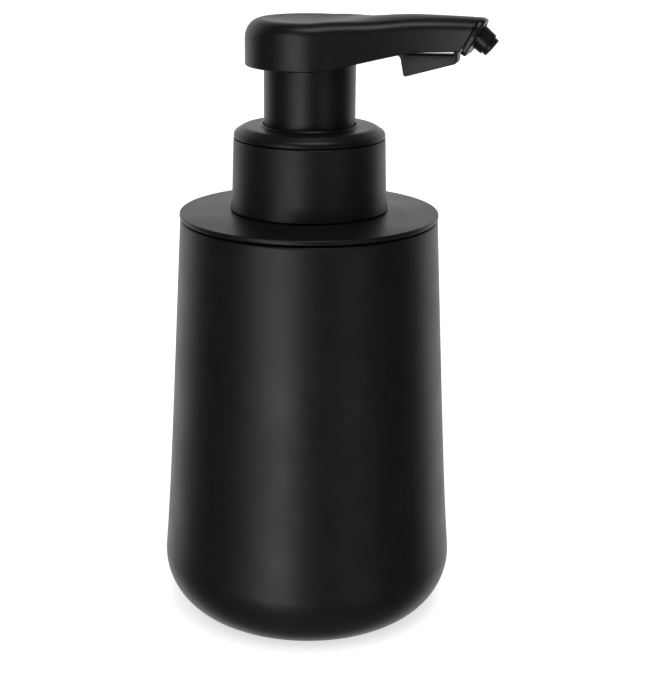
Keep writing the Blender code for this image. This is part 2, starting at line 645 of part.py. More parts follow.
def head_form(name, inset, drop, below, reach, finish=None):
    """The head's block, or its hollow when inset is the wall."""
    rounding = HEAD_ROUND - inset
    rim_round = 0.0 if inset else 0.4 * MM
    rows = []
    rows.append([(x, y, underside(x) - below) for x, y in head_outline(inset + rim_round, reach)])
    if rim_round:
        rows.append([(x, y, underside(x) + rim_round) for x, y in head_outline(inset, reach)])
    for step in range(5):
        angle = math.radians(22.5 * step)
        outline = head_outline(inset + rounding * (1.0 - math.cos(angle)), reach)
        lift = rounding * (math.sin(angle) - 1.0) - drop
        rows.append([(x, y, crown(x) + lift) for x, y in outline])
    form = bmesh.new()
    grid = loft(form, rows)
    ladder(form, grid[0])
    ladder(form, grid[-1])
    end = [row[0] for row in grid] + [row[-1] for row in reversed(grid)]
    form.faces.new(end)
    bmesh.ops.recalc_face_normals(form, faces=form.faces)
    plane_point = PLATE_CENTRE - PLATE_AXIS * GAP
    if finish is not None:
        trimmed = bmesh.ops.bisect_plane(form, geom=form.verts[:] + form.edges[:] + form.faces[:],
                                         plane_co=plane_point, plane_no=PLATE_AXIS, clear_outer=True)
        rim = [e for e in trimmed["geom_cut"] if isinstance(e, bmesh.types.BMEdge)]
        bmesh.ops.contextual_create(form, geom=rim)
        bmesh.ops.remove_doubles(form, verts=form.verts, dist=0.000002)
    return place(name, mesh_from(form, name), finish)


def head_shell(finish):
    shell = head_form("head_shell", 0.0, 0.0, 0.0, SPOUT_REACH + 6.0 * MM, finish)
    hollow = head_form("head_hollow", HEAD_WALL, HEAD_WALL, 5.0 * MM, SPOUT_REACH + 9.0 * MM)
    cut(shell, hollow)
    return shell


def duct_path(start, end_x):
    bend_base = DUCT_LEVEL - DUCT_BEND_R
    points = [(0.0, 0.0, start)]
    for step in range(9):
        angle = math.pi / 2.0 * step / 8
        x = DUCT_BEND_R * (1.0 - math.cos(angle))
        points.append((x, 0.0, bend_base + DUCT_BEND_R * math.sin(angle)))
    points.append((DUCT_END_X - 5.0 * MM, 0.0, DUCT_END_Z))
    points.append((end_x, 0.0, DUCT_END_Z))
    return points


def spout_duct(finish):
    """The foam's way from the mesh cartridge to the nozzle, with a socket over the cartridge."""
    socket_bore = CARTRIDGE_R + GAP
    socket_outer = socket_bore + 1.1 * MM
    socket_base = CARTRIDGE_TOP - 9.0 * MM
    socket_top = CARTRIDGE_TOP + GAP
    profile = [(0.0, socket_top + 1.2 * MM), (socket_outer, socket_top + 1.2 * MM)]
    profile += [(socket_outer, socket_base)]
    profile += [(socket_bore, socket_base), (socket_bore, socket_top), (0.0, socket_top)]
    duct = turned("spout_duct", profile, finish, COARSE)
    pipe = rod("duct_pipe", duct_path(socket_top + 0.5 * MM, DUCT_END_X), DUCT_R)
    bore = rod("duct_bore", duct_path(socket_top - 1.0 * MM, DUCT_END_X + 2.0 * MM), DUCT_BORE_R)
    cut(duct, pipe, "UNION")
    cut(duct, bore)
    return duct


def plan_plate(name, start, end, side_gap, low, high, finish=None):
    """A plate that follows the spout's flanks and underside between two heights."""
    steps = 6
    form = bmesh.new()
    rows = []
    for level in (low, high):
        near = []
        for step in range(steps + 1):
            x = start + (end - start) * step / steps
            near.append((x, -(half_width(x) - side_gap), underside(x) + level))
        rows.append(near + [(x, -y, z) for x, y, z in reversed(near)])
    grid = loft(form, rows)
    for row in grid:
        ladder(form, row)
    form.faces.new((grid[0][0], grid[0][-1], grid[1][-1], grid[1][0]))
    return place(name, mesh_from(form, name), finish)


def spout_cover(finish):
    """The strip that closes the spout's hollow, and the tongue that hangs from it by both ends."""
    start = PAD_HEAD_R - 0.6 * MM
    cover = plan_plate("spout_cover", start, TONGUE_END + 0.6 * MM, HEAD_WALL + GAP,
                       0.1 * MM, COVER_RIB, finish)
    inner = underside(TONGUE_START)
    outer = underside(TONGUE_END)
    joined = COVER_RIB / 2.0
    root = TONGUE_START + TONGUE_ROOT
    wall = TONGUE_END - TONGUE_WALL
    outline = [(TONGUE_START, inner + joined), (TONGUE_START, inner - 0.6 * MM)]
    outline += [(TONGUE_START + 0.9 * MM, inner - TONGUE_DEEP + 0.5 * MM)]
    outline += [(TONGUE_START + 1.5 * MM, inner - TONGUE_DEEP)]
    outline += [(TONGUE_END - 0.8 * MM, outer - TONGUE_SHALLOW)]
    outline += [(TONGUE_END, outer - TONGUE_SHALLOW + 0.8 * MM)]
    outline += [(TONGUE_END, outer + joined), (wall, underside(wall) + joined), (wall, outer - SLIT_OUT)]
    outline += [(root, underside(root) - SLIT_IN), (root, underside(root) + joined)]
    cut(cover, prism("cover_tongue", outline, TONGUE_HALF, 0.2 * MM), "UNION")
    return cover


def lean(axis, centre):
    """A frame whose Z runs along an axis in the XZ plane, placed at a centre."""
    return Matrix.Translation(centre) @ Vector((0.0, 0.0, 1.0)).rotation_difference(axis).to_matrix().to_4x4()


def disc(name, radius, depth, middle, axis, segments=SMALL):
    form = bmesh.new()
    bmesh.ops.create_cone(form, cap_ends=True, segments=segments, radius1=radius, radius2=radius, depth=depth,
                          matrix=lean(axis, middle))
    return place(name, mesh_from(form, name))


def end_plate(finish):
    """The slanted plate that closes the spout, with the nozzle's seat and a spigot for the duct."""
    across = Vector((0.0, 1.0, 0.0))
    half_long = END_PLATE_LENGTH / 2.0
    half_wide = SPOUT_HALF + 0.1 * MM
    steps = 32
    form = bmesh.new()
    corners = []
    for step in range(steps):
        turn = 2.0 * math.pi * step / steps
        side = math.copysign(abs(math.cos(turn)) ** 0.72, math.cos(turn))
        rise = math.copysign(abs(math.sin(turn)) ** 0.72, math.sin(turn))
        corners.append(form.verts.new(PLATE_CENTRE + across * half_wide * side + PLATE_UP * half_long * rise))
    face = form.faces.new(corners)
    pulled = bmesh.ops.extrude_face_region(form, geom=[face])
    far = [v for v in pulled["geom"] if isinstance(v, bmesh.types.BMVert)]
    bmesh.ops.translate(form, verts=far, vec=PLATE_AXIS * END_PLATE_THICK)
    flat = [f for f in form.faces if len(f.verts) > 4]
    rims = {edge for f in flat for edge in f.edges}
    bmesh.ops.bevel(form, geom=list(rims), offset=0.35 * MM, segments=2, profile=0.5,
                    affect="EDGES", material=-1)
    plate = place("end_plate", mesh_from(form, "end_plate"), finish)
    seat = disc("nozzle_seat", NOZZLE_SPIGOT_R + GAP, 2.0 * MM, NOZZLE_ROOT, NOZZLE_AXIS)
    along = Vector((1.0, 0.0, 0.0))
    spigot_start = DUCT_END_X - 1.6 * MM
    spigot_end = PLATE_CENTRE.x + 0.8 * MM
    spigot_middle = Vector(((spigot_start + spigot_end) / 2.0, 0.0, DUCT_END_Z))
    spigot_length = spigot_end - spigot_start
    spigot = disc("plate_spigot", DUCT_BORE_R - GAP, spigot_length, spigot_middle, along)
    bore = disc("plate_bore", 1.0 * MM, spigot_length + 6.0 * MM, spigot_middle, along)
    cut(plate, spigot, "UNION")
    cut(plate, seat)
    cut(plate, bore)
    return plate


def nozzle_tip(finish):
    """The stepped outlet, cut square to sit on the slanted plate."""
    root_back = 2.0 * MM
    frame = lean(NOZZLE_AXIS, NOZZLE_ROOT)
    form = bmesh.new()
    bmesh.ops.create_cone(form, cap_ends=True, segments=COARSE, radius1=NOZZLE_R, radius2=NOZZLE_R - 0.15 * MM,
                          depth=NOZZLE_LENGTH + root_back,
                          matrix=frame @ Matrix.Translation((0.0, 0.0, (NOZZLE_LENGTH - root_back) / 2.0)))
    bmesh.ops.recalc_face_normals(form, faces=form.faces)
    trimmed = bmesh.ops.bisect_plane(form, geom=form.verts[:] + form.edges[:] + form.faces[:],
                                     plane_co=NOZZLE_ROOT + PLATE_AXIS * GAP, plane_no=PLATE_AXIS, clear_inner=True)
    rim = [e for e in trimmed["geom_cut"] if isinstance(e, bmesh.types.BMEdge)]
    bmesh.ops.contextual_create(form, geom=rim)
    nozzle = place("nozzle_tip", mesh_from(form, "nozzle_tip"), finish)
    tip_middle = NOZZLE_ROOT + NOZZLE_AXIS * (NOZZLE_LENGTH + NOZZLE_TIP_LENGTH / 2.0 - 0.2 * MM)
    tip = disc("nozzle_end", NOZZLE_TIP_R, NOZZLE_TIP_LENGTH + 0.4 * MM, tip_middle, NOZZLE_AXIS, COARSE)
    spigot_centre = NOZZLE_ROOT + NOZZLE_AXIS * 0.3 * MM
    spigot = disc("nozzle_spigot", NOZZLE_SPIGOT_R, 2.0 * MM, spigot_centre, NOZZLE_AXIS)
    bore = disc("nozzle_bore", NOZZLE_BORE_R, 14.0 * MM, NOZZLE_ROOT + NOZZLE_AXIS * 3.0 * MM, NOZZLE_AXIS)
    cut(nozzle, tip, "UNION")
    cut(nozzle, spigot, "UNION")
    cut(nozzle, bore)
    return nozzle


def build():
    start_collections()
    body_shell(material("satin_body", INK, 0.45))
    foot_pad(material("foot_rubber", (0.02, 0.02, 0.02), 0.9))
    lid_plate(material("satin_lid", INK, 0.4))
    lid_seal(material("seal_silicone", (0.6, 0.6, 0.58), 0.5))
    collar(material("satin_collar", INK, 0.42))
    collar_cap(material("satin_cap", INK, 0.4))
    housing_gasket(material("gasket_foam", (0.75, 0.75, 0.72), 0.8))
    pump_housing(material("housing_plastic", MILKY, 0.35))
    dip_tube(material("tube_plastic", MILKY, 0.3))
    steel = material("ball_steel", (0.6, 0.6, 0.62), 0.2, 1.0)
    inlet_seat = LIQUID_FLOOR - SEAT_LENGTH
    ball("inlet_ball", inlet_seat, INLET_BORE_R, INLET_BALL_R, steel)
    return_spring(material("spring_steel", (0.6, 0.6, 0.62), 0.3, 1.0))
    liquid_piston(material("piston_plastic", MILKY, 0.4))
    piston_stem(material("stem_plastic", MILKY, 0.4))
    air_piston(material("air_piston_plastic", MILKY, 0.4))
    air_valve(material("valve_rubber", (0.6, 0.6, 0.58), 0.6))
    ball("outlet_ball", OUTLET_SEAT, OUTLET_BORE_R, OUTLET_BALL_R, steel)
    mesh_cartridge(material("cartridge_plastic", MILKY, 0.4))
    weave = material("mesh_nylon", (0.8, 0.8, 0.78), 0.5)
    mesh_screen("lower_screen", CARTRIDGE_BASE + 2.2 * MM + GAP + SCREEN_THICK / 2.0, weave)
    mesh_screen("upper_screen", CARTRIDGE_TOP - 1.0 * MM, weave)
    neck_sleeve(material("satin_sleeve", INK, 0.42))
    spout_duct(material("duct_plastic", INK, 0.4))
    head_shell(material("satin_head", INK, 0.45))
    spout_cover(material("gloss_cover", INK, 0.25))
    end_plate(material("satin_plate", INK, 0.35))
    nozzle_tip(material("satin_nozzle", INK, 0.4))


build()
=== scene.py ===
"""Finished look of the foaming soap dispenser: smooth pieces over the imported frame, studio and camera."""

import math

import bmesh
import bpy
from mathutils import Matrix, Vector


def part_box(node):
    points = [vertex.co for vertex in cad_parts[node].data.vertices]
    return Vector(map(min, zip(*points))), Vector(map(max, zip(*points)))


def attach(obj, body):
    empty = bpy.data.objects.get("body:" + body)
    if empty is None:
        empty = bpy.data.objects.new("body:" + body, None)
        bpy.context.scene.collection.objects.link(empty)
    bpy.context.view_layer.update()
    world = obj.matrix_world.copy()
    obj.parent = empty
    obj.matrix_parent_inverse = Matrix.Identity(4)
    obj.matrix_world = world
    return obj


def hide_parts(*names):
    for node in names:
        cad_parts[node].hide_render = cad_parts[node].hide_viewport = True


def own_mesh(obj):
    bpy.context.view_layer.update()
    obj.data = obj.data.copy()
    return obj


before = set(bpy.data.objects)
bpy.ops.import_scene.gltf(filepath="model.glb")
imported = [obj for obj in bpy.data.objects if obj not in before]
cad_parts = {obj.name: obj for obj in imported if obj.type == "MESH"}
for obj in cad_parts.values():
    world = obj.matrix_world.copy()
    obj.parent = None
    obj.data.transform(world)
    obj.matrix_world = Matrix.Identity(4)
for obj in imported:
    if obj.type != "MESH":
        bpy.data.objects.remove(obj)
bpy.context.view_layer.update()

MM = 0.001
FULL_TURN = 2.0 * math.pi
TURN_STEPS = 144                    # sides of a large turned piece
SMALL_STEPS = 72
CORNER_PIECES = 5                   # straight pieces in a rounded corner
CEILING_CUTS = 5                    # rows across the head's ceiling, and across its top
TOP_CUTS = 25
HOLD = 0.12 * MM                    # rows that keep a rounding's shading from spreading
GAP = 0.3 * MM                      # air between touching pieces
SAME_POINT = 0.0005 * MM            # points closer than this are merged

# Vessel, lid and collar
BODY_MAX_Z = 17.5 * MM              # height of the widest part
BODY_FLAT_R = 24.0 * MM             # where the rounded base runs into the flat
BODY_WALL = 2.2 * MM
SIDE_BULGE = 0.1                    # share of the side's widening that comes as a late swell
SIDE_POWER = 6
BASE_RECESS = 1.8 * MM
LID_OVER = 0.2 * MM                 # the lid stands this far past the vessel's rim
NECK_R = 18.15 * MM                 # the lid's screw neck
NECK_BORE = 16.6 * MM
THREAD_PITCH = 4.0 * MM
THREAD_TURNS = 1.5
COLLAR_WALL = 1.7 * MM
SLEEVE_R = 12.4 * MM
SLEEVE_WALL = 1.4 * MM

# Head
PAD_R = 17.5 * MM
HEAD_WALL = 1.6 * MM
SHOULDER = 4.5 * MM                 # how far in from the side the shoulder reaches
SPOUT_START = 8.0 * MM
SPOUT_REACH = 44.0 * MM
SPOUT_HALF = 5.8 * MM
SPOUT_TAPER = 0.03                  # slope of the spout's side at its end
CROWN_START = 2.0 * MM
CROWN_TOP = 30.0 * MM
CROWN_RISE = 2.0 * MM
CROWN_FALL = 0.2 * MM
UNDERSIDE_START = 7.2 * MM
UNDERSIDE_BREAK = SPOUT_REACH * 2.0 / 3.0
UNDERSIDE_SLOPE = 8.83 * MM / (SPOUT_REACH - UNDERSIDE_START)
UNDERSIDE_EASE = UNDERSIDE_SLOPE * 0.89
UNDERSIDE_SOFT = 3.0 * MM
SEAM = 0.16 * MM                    # between the spout and its end plate
DISH_R = 13.0 * MM                  # shallow thumb dish
DISH_DEEP = 0.9 * MM
ARCH_START = 9.0 * MM               # from here the top starts to arch across the spout
ARCH_FULL = 24.0 * MM
ARCH_TILT = math.radians(17.0)
SHOULDER_FRONT = 2.9 * MM           # the shoulder's height, along the front and the spout
SHOULDER_BACK = 5.2 * MM
RIM_ROUND = 0.45 * MM               # the skirt's rim: its outer edge, its inner edge and the row above
RIM_INNER = 0.3 * MM
RIM_HOLD = 0.7 * MM

# Slanted end plate and nozzle
PLATE_TILT = math.radians(28.0)
PLATE_LENGTH = 10.6 * MM
PLATE_THICK = 1.6 * MM
PLATE_DROP = 2.6 * MM
NOZZLE_TILT = math.radians(40.0)
NOZZLE_RAISE = 0.3 * MM

# Tongue under the spout
TONGUE_HALF = 2.5 * MM
TONGUE_END = SPOUT_REACH - 3.6 * MM
TONGUE_START = TONGUE_END - 15.4 * MM
TONGUE_DEEP = 6.1 * MM              # at its root
STRIP_THICK = 0.65 * MM

HEAD_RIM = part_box("head_shell")[0].z
THUMB_FACE = HEAD_RIM + 12.4 * MM
PLATE_AXIS = Vector((math.cos(PLATE_TILT), 0.0, -math.sin(PLATE_TILT)))
PLATE_UP = Vector((math.sin(PLATE_TILT), 0.0, math.cos(PLATE_TILT)))
PLATE_CENTRE = Vector((SPOUT_REACH, 0.0, THUMB_FACE - PLATE_DROP))
NOZZLE_AXIS = Vector((math.cos(NOZZLE_TILT), 0.0, -math.sin(NOZZLE_TILT)))
NOZZLE_ROOT = PLATE_CENTRE + PLATE_AXIS * PLATE_THICK + PLATE_UP * NOZZLE_RAISE

# Camera
CAMERA_TURN = math.radians(15.0)
CAMERA_PLACE = Vector((4.0 * MM, -432.3 * MM, 213.4 * MM))
CAMERA_DOWN = math.radians(17.1)
CAMERA_ROLL = math.radians(0.5)
CAMERA_LENS = 84.96

PAPER = 0.985                       # brightness of the surround for the camera
FLOOR_GLOW = 0.66
FLOOR_DROP = 0.05 * MM              # keeps the floor clear of the foot
TOP_LIGHT = 1.6
TOP_SPREAD = math.radians(40.0)
LAMP_LEAN = math.radians(45.0)

# Reflected studio: angles in degrees, from the camera's side of the object
AMBIENT = 0.025
BACK_LIGHT = 1.0
BACK_WIDE = 75.0                    # the white behind fades out from BACK_FULL to here
BACK_FULL = 45.0
BACK_TOP = 42.0                     # and upwards over the last BACK_FADE to here
BACK_FADE = 25.0
SOFT_BOXES = (                      # azimuth, elevation, full radius, outer radius, strength
    (-39.0, -5.0, 2.0, 11.0, 2.9),
    (-38.0, 15.0, 2.0, 13.0, 2.2),
    (-21.0, -15.0, 2.0, 10.5, 8.0),
    (38.0, -14.0, 4.0, 20.0, 0.5),
    (0.0, -90.0, 15.0, 60.0, 0.11),
    (15.0, 76.0, 3.0, 20.0, 4.5),
)


# --- materials ------------------------------------------------------------

def new_finish(name):
    made = bpy.data.materials.new(name)
    made.use_nodes = True
    return made, made.node_tree.nodes, made.node_tree.links, made.node_tree.nodes["Principled BSDF"]


def noise(nodes, links, place, scale, detail):
    made = nodes.new("ShaderNodeTexNoise")
    made.inputs["Scale"].default_value = scale
    made.inputs["Detail"].default_value = detail
    links.new(place.outputs["Object"], made.inputs["Vector"])
    return made.outputs[0]


def spread(nodes, links, source, low, high, into):
    """Map the middle of a noise to a range and feed a socket."""
    made = nodes.new("ShaderNodeMapRange")
    made.inputs["From Min"].default_value = 0.3
    made.inputs["From Max"].default_value = 0.7
    made.inputs["To Min"].default_value = low
    made.inputs["To Max"].default_value = high
    links.new(source, made.inputs["Value"])
    links.new(made.outputs["Result"], into)


def tint(nodes, links, source, dark, light, into):
    ramp = nodes.new("ShaderNodeValToRGB")
    ramp.color_ramp.elements[0].position = 0.32
    ramp.color_ramp.elements[0].color = (*dark, 1.0)
    ramp.color_ramp.elements[1].position = 0.68
    ramp.color_ramp.elements[1].color = (*light, 1.0)
    links.new(source, ramp.inputs["Fac"])
    links.new(ramp.outputs["Color"], into)


def moulding(name, dark, light, roughness, grain_mm, grain_deep_mm, swing=0.03, specular=0.5):
    """Moulded plastic: fine spark-eroded grain, faint flow in the gloss and in the colour."""
    made, nodes, links, surface = new_finish(name)
    place = nodes.new("ShaderNodeTexCoord")
    tint(nodes, links, noise(nodes, links, place, 240.0, 4.0), dark, light, surface.inputs["Base Color"])
    flow = noise(nodes, links, place, 70.0, 3.0)
    spread(nodes, links, flow, roughness - swing, roughness + swing, surface.inputs["Roughness"])
    surface.inputs["Specular IOR Level"].default_value = specular
    bump = nodes.new("ShaderNodeBump")
    bump.inputs["Strength"].default_value = 1.0
    bump.inputs["Distance"].default_value = grain_deep_mm * MM
    links.new(noise(nodes, links, place, 1.0 / (grain_mm * MM), 3.0), bump.inputs["Height"])
    links.new(bump.outputs["Normal"], surface.inputs["Normal"])
    return made


def milky(name, dark, light, roughness, soft=0.15):
    """Natural polypropylene or silicone: slightly see-through, waxy gloss."""
    made = moulding(name, dark, light, roughness, 0.8, 0.006, 0.05)
    surface = made.node_tree.nodes["Principled BSDF"]
    surface.inputs["Subsurface Weight"].default_value = soft
    surface.inputs["Subsurface Radius"].default_value = (2.0, 2.0, 1.8)
    surface.inputs["Subsurface Scale"].default_value = 0.001
    return made


def steel(name, roughness, lines):
    """Stainless wire or balls, with fine drawing lines or polish marks."""
    made, nodes, links, surface = new_finish(name)
    surface.inputs["Metallic"].default_value = 1.0
    place = nodes.new("ShaderNodeTexCoord")
    fine = noise(nodes, links, place, lines, 4.0)
    tint(nodes, links, fine, (0.5, 0.5, 0.52), (0.66, 0.66, 0.68), surface.inputs["Base Color"])
    spread(nodes, links, fine, roughness - 0.06, roughness + 0.08, surface.inputs["Roughness"])
    return made


def weave(name):
    """Woven nylon screen: two crossed sets of threads."""
    made, nodes, links, surface = new_finish(name)
    place = nodes.new("ShaderNodeTexCoord")
    joined = nodes.new("ShaderNodeMath")
    joined.operation = "MAXIMUM"
    for index, direction in enumerate(("X", "Y")):
        wave = nodes.new("ShaderNodeTexWave")
        wave.bands_direction = direction
        wave.inputs["Scale"].default_value = 900.0
        links.new(place.outputs["Object"], wave.inputs["Vector"])
        links.new(wave.outputs["Fac"], joined.inputs[index])
    threads = joined.outputs[0]
    tint(nodes, links, threads, (0.5, 0.5, 0.48), (0.82, 0.82, 0.8), surface.inputs["Base Color"])
    bump = nodes.new("ShaderNodeBump")
    bump.inputs["Distance"].default_value = 0.05 * MM
    links.new(threads, bump.inputs["Height"])
    links.new(bump.outputs["Normal"], surface.inputs["Normal"])
    surface.inputs["Roughness"].default_value = 0.5
    return made


INK = (0.0028, 0.0028, 0.0030)
INK_PALE = (0.0048, 0.0048, 0.0051)

finishes = {
    "body": moulding("satin_body", INK, INK_PALE, 0.42, 0.34, 0.009),
    "lid": moulding("satin_lid", INK, INK_PALE, 0.40, 0.34, 0.007, specular=0.44),
    "collar": moulding("satin_collar", INK, INK_PALE, 0.44, 0.32, 0.008, specular=0.45),
    "cap": moulding("satin_cap", INK, INK_PALE, 0.38, 0.32, 0.006, specular=0.42),
    "sleeve": moulding("satin_sleeve", INK, INK_PALE, 0.42, 0.32, 0.007),
    "head": moulding("satin_head", INK, INK_PALE, 0.42, 0.34, 0.009),
    "ledge": moulding("polished_ledge", INK, INK_PALE, 0.08, 1.0, 0.0005, 0.02),
    "plate": moulding("satin_plate", INK, INK_PALE, 0.36, 0.32, 0.006),
    "nozzle": moulding("satin_nozzle", INK, INK_PALE, 0.40, 0.30, 0.006),
    "rubber": moulding("foot_rubber", (0.014, 0.014, 0.014), (0.024, 0.024, 0.024), 0.82, 0.5, 0.02,
                       0.06, 0.3),
    "silicone": milky("seal_silicone", (0.56, 0.56, 0.54), (0.66, 0.66, 0.64), 0.45, 0.25),
    "foam": moulding("gasket_foam", (0.66, 0.66, 0.62), (0.8, 0.8, 0.77), 0.85, 0.25, 0.05, 0.05, 0.2),
    "housing": milky("housing_plastic", (0.66, 0.68, 0.67), (0.74, 0.755, 0.745), 0.34),
    "tube": milky("tube_plastic", (0.68, 0.70, 0.69), (0.77, 0.785, 0.775), 0.28, 0.3),
    "piston": milky("piston_plastic", (0.65, 0.66, 0.64), (0.74, 0.75, 0.73), 0.42),
    "stem": milky("stem_plastic", (0.67, 0.68, 0.67), (0.75, 0.76, 0.75), 0.36),
    "spring": steel("spring_wire", 0.24, 2600.0),
    "ball": steel("ball_steel", 0.14, 700.0),
    "screen": weave("screen_nylon"),
}


# --- mesh helpers ---------------------------------------------------------

def finish_piece(form, name, finish, body, nodes=(), sharp=32.0):
    """Turn a bmesh into a finished piece that rides on a body and stands for its CAD nodes."""
    bmesh.ops.remove_doubles(form, verts=form.verts, dist=SAME_POINT)
    bmesh.ops.recalc_face_normals(form, faces=form.faces)
    mesh = bpy.data.meshes.new(name)
    form.to_mesh(mesh)
    form.free()
    mesh.shade_smooth()
    mesh.set_sharp_from_angle(angle=math.radians(sharp))
    piece = bpy.data.objects.new(name, mesh)
    bpy.context.scene.collection.objects.link(piece)
    mesh.materials.append(finishes[finish])
    if nodes:
        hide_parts(*nodes)
    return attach(piece, body)


def round_corner(before, corner, after, radius):
    """Points along the arc that rounds a corner between two straight runs."""
    back, on = (before - corner), (after - corner)
    half = back.angle(on) / 2.0
    reach = min(radius / math.tan(half), 0.48 * back.length, 0.48 * on.length)
    radius = reach * math.tan(half)
    start, end = corner + back.normalized() * reach, corner + on.normalized() * reach
    centre = corner + (back.normalized() + on.normalized()).normalized() * (radius / math.sin(half))
    first = math.atan2(start.y - centre.y, start.x - centre.x)
    swing = math.atan2(end.y - centre.y, end.x - centre.x) - first
    swing = (swing + math.pi) % FULL_TURN - math.pi
    angles = [first + swing * step / CORNER_PIECES for step in range(CORNER_PIECES + 1)]
    return [Vector((centre.x + radius * math.cos(a), centre.y + radius * math.sin(a))) for a in angles]


def outline(corners, closed):
    """Corners are (radius, height) or (radius, height, rounding); long straight runs get holding rows."""
    points = []
    last = len(corners) - 1
    for index, corner in enumerate(corners):
        here = Vector(corner[:2])
        if len(corner) == 2 or (not closed and index in (0, last)):
            points.append(here)
        else:
            before = Vector(corners[index - 1][:2])
            after = Vector(corners[(index + 1) % len(corners)][:2])
            points += round_corner(before, here, after, corner[2])
    held = []
    for index, point in enumerate(points):
        held.append(point)
        if index == len(points) - 1 and not closed:
            break
        run = points[(index + 1) % len(points)] - point
        if run.length > 8.0 * HOLD:
            held += [point + run.normalized() * HOLD, point + run - run.normalized() * HOLD]
    return held


def turned(corners, closed=True, steps=TURN_STEPS):
    """Spin an outline about Z."""
    form = bmesh.new()
    dots = [form.verts.new((point.x, 0.0, point.y)) for point in outline(corners, closed)]
    runs = [form.edges.new(pair) for pair in zip(dots, dots[1:])]
    if closed:
        runs.append(form.edges.new((dots[-1], dots[0])))
    bmesh.ops.spin(form, geom=dots + runs, cent=(0, 0, 0), axis=(0, 0, 1), angle=FULL_TURN, steps=steps,
                   use_merge=True)
    bmesh.ops.remove_doubles(form, verts=form.verts, dist=SAME_POINT)
    return form


def slanted(axis, place):
    """A frame whose Z runs along an axis in the XZ plane."""
    turn = Vector((0.0, 0.0, 1.0)).rotation_difference(axis)
    return Matrix.Translation(place) @ turn.to_matrix().to_4x4()


def everything(form):
    return form.verts[:] + form.edges[:] + form.faces[:]


def only(kind, geometry):
    """The vertices or the edges among a tool's results."""
    return [part for part in geometry if isinstance(part, kind)]


def thicken(form, faces, offset):
    """Give flat faces a thickness along an offset."""
    raised = bmesh.ops.extrude_face_region(form, geom=faces)["geom"]
    bmesh.ops.translate(form, verts=only(bmesh.types.BMVert, raised), vec=offset)


def soften(form, edges, width, segments):
    bmesh.ops.bevel(form, geom=edges, offset=width, segments=segments, profile=0.5, affect="EDGES",
                    material=-1)


def trim(form, place, outside):
    """Cut off what lies past a plane like the end plate's, and return the cut's edges."""
    trimmed = bmesh.ops.bisect_plane(form, geom=everything(form), plane_co=place, plane_no=PLATE_AXIS,
                                     clear_outer=outside, clear_inner=not outside)
    return only(bmesh.types.BMEdge, trimmed["geom_cut"])


# --- vessel and lid -------------------------------------------------------

def vessel():
    """The tapered shell: floor, inside wall, rim, outside wall and rounded base, in one outline."""
    low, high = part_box("body_shell")
    rim, widest = high.z, high.x
    rim_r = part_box("lid_plate")[1].x - LID_OVER

    straight = 1.0 - SIDE_BULGE
    foot_slope = straight + SIDE_BULGE * SIDE_POWER
    lean = math.atan2(foot_slope * (widest - rim_r), rim - BODY_MAX_Z)
    join_r = BODY_FLAT_R + (widest - BODY_FLAT_R) * math.cos(lean)
    join_z = BODY_MAX_Z * (1.0 + math.sin(lean))

    def side(z):
        fall = (rim - z) / (rim - join_z)
        return rim_r + (join_r - rim_r) * (straight * fall + SIDE_BULGE * fall ** SIDE_POWER)

    def base_curve(inset, foot, start, end, count):
        centre = Vector((BODY_FLAT_R, BODY_MAX_Z))
        wide = widest - BODY_FLAT_R - inset
        tall = BODY_MAX_Z - foot
        angles = [start + (end - start) * step / count for step in range(count + 1)]
        return [(centre.x + wide * math.cos(a), centre.y + tall * math.sin(a)) for a in angles]

    floor_top = BASE_RECESS + 2.7 * MM
    recess_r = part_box("foot_pad")[1].x + GAP
    heights = [rim + (join_z - rim) * step / 14 for step in range(1, 14)]
    corners = [(0.0, floor_top)]
    corners += base_curve(BODY_WALL, floor_top, -math.pi / 2.0, lean, 14)
    corners += [(side(z) - BODY_WALL, z) for z in reversed(heights)]
    corners += [(rim_r - BODY_WALL, rim, 0.5 * MM), (rim_r, rim, 0.6 * MM)]
    corners += [(side(z), z) for z in heights]
    corners += base_curve(0.0, low.z, lean, -math.pi / 2.0, 22)
    corners += [(recess_r, low.z, 0.3 * MM), (recess_r, BASE_RECESS, 0.2 * MM), (0.0, BASE_RECESS)]
    shell = turned(corners, closed=False)
    finish_piece(shell, "vessel_shell", "body", "vessel", ["body_shell"])


def foot():
    """The soft pad in the base, with rings of grip."""
    low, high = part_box("foot_pad")
    corners = [(0.0, high.z), (high.x, high.z, 0.2 * MM), (high.x, low.z, 0.35 * MM)]
    groove = 0.35 * MM
    for radius in (16.5 * MM, 13.0 * MM, 9.5 * MM, 6.0 * MM):
        corners += [(radius + 0.5 * MM, low.z, 0.15 * MM), (radius + 0.3 * MM, low.z + groove, 0.1 * MM)]
        corners += [(radius - 0.3 * MM, low.z + groove, 0.1 * MM), (radius - 0.5 * MM, low.z, 0.15 * MM)]
    corners.append((0.0, low.z))
    pad = turned(corners, closed=False, steps=SMALL_STEPS)
    finish_piece(pad, "foot_ring", "rubber", "vessel", ["foot_pad"])


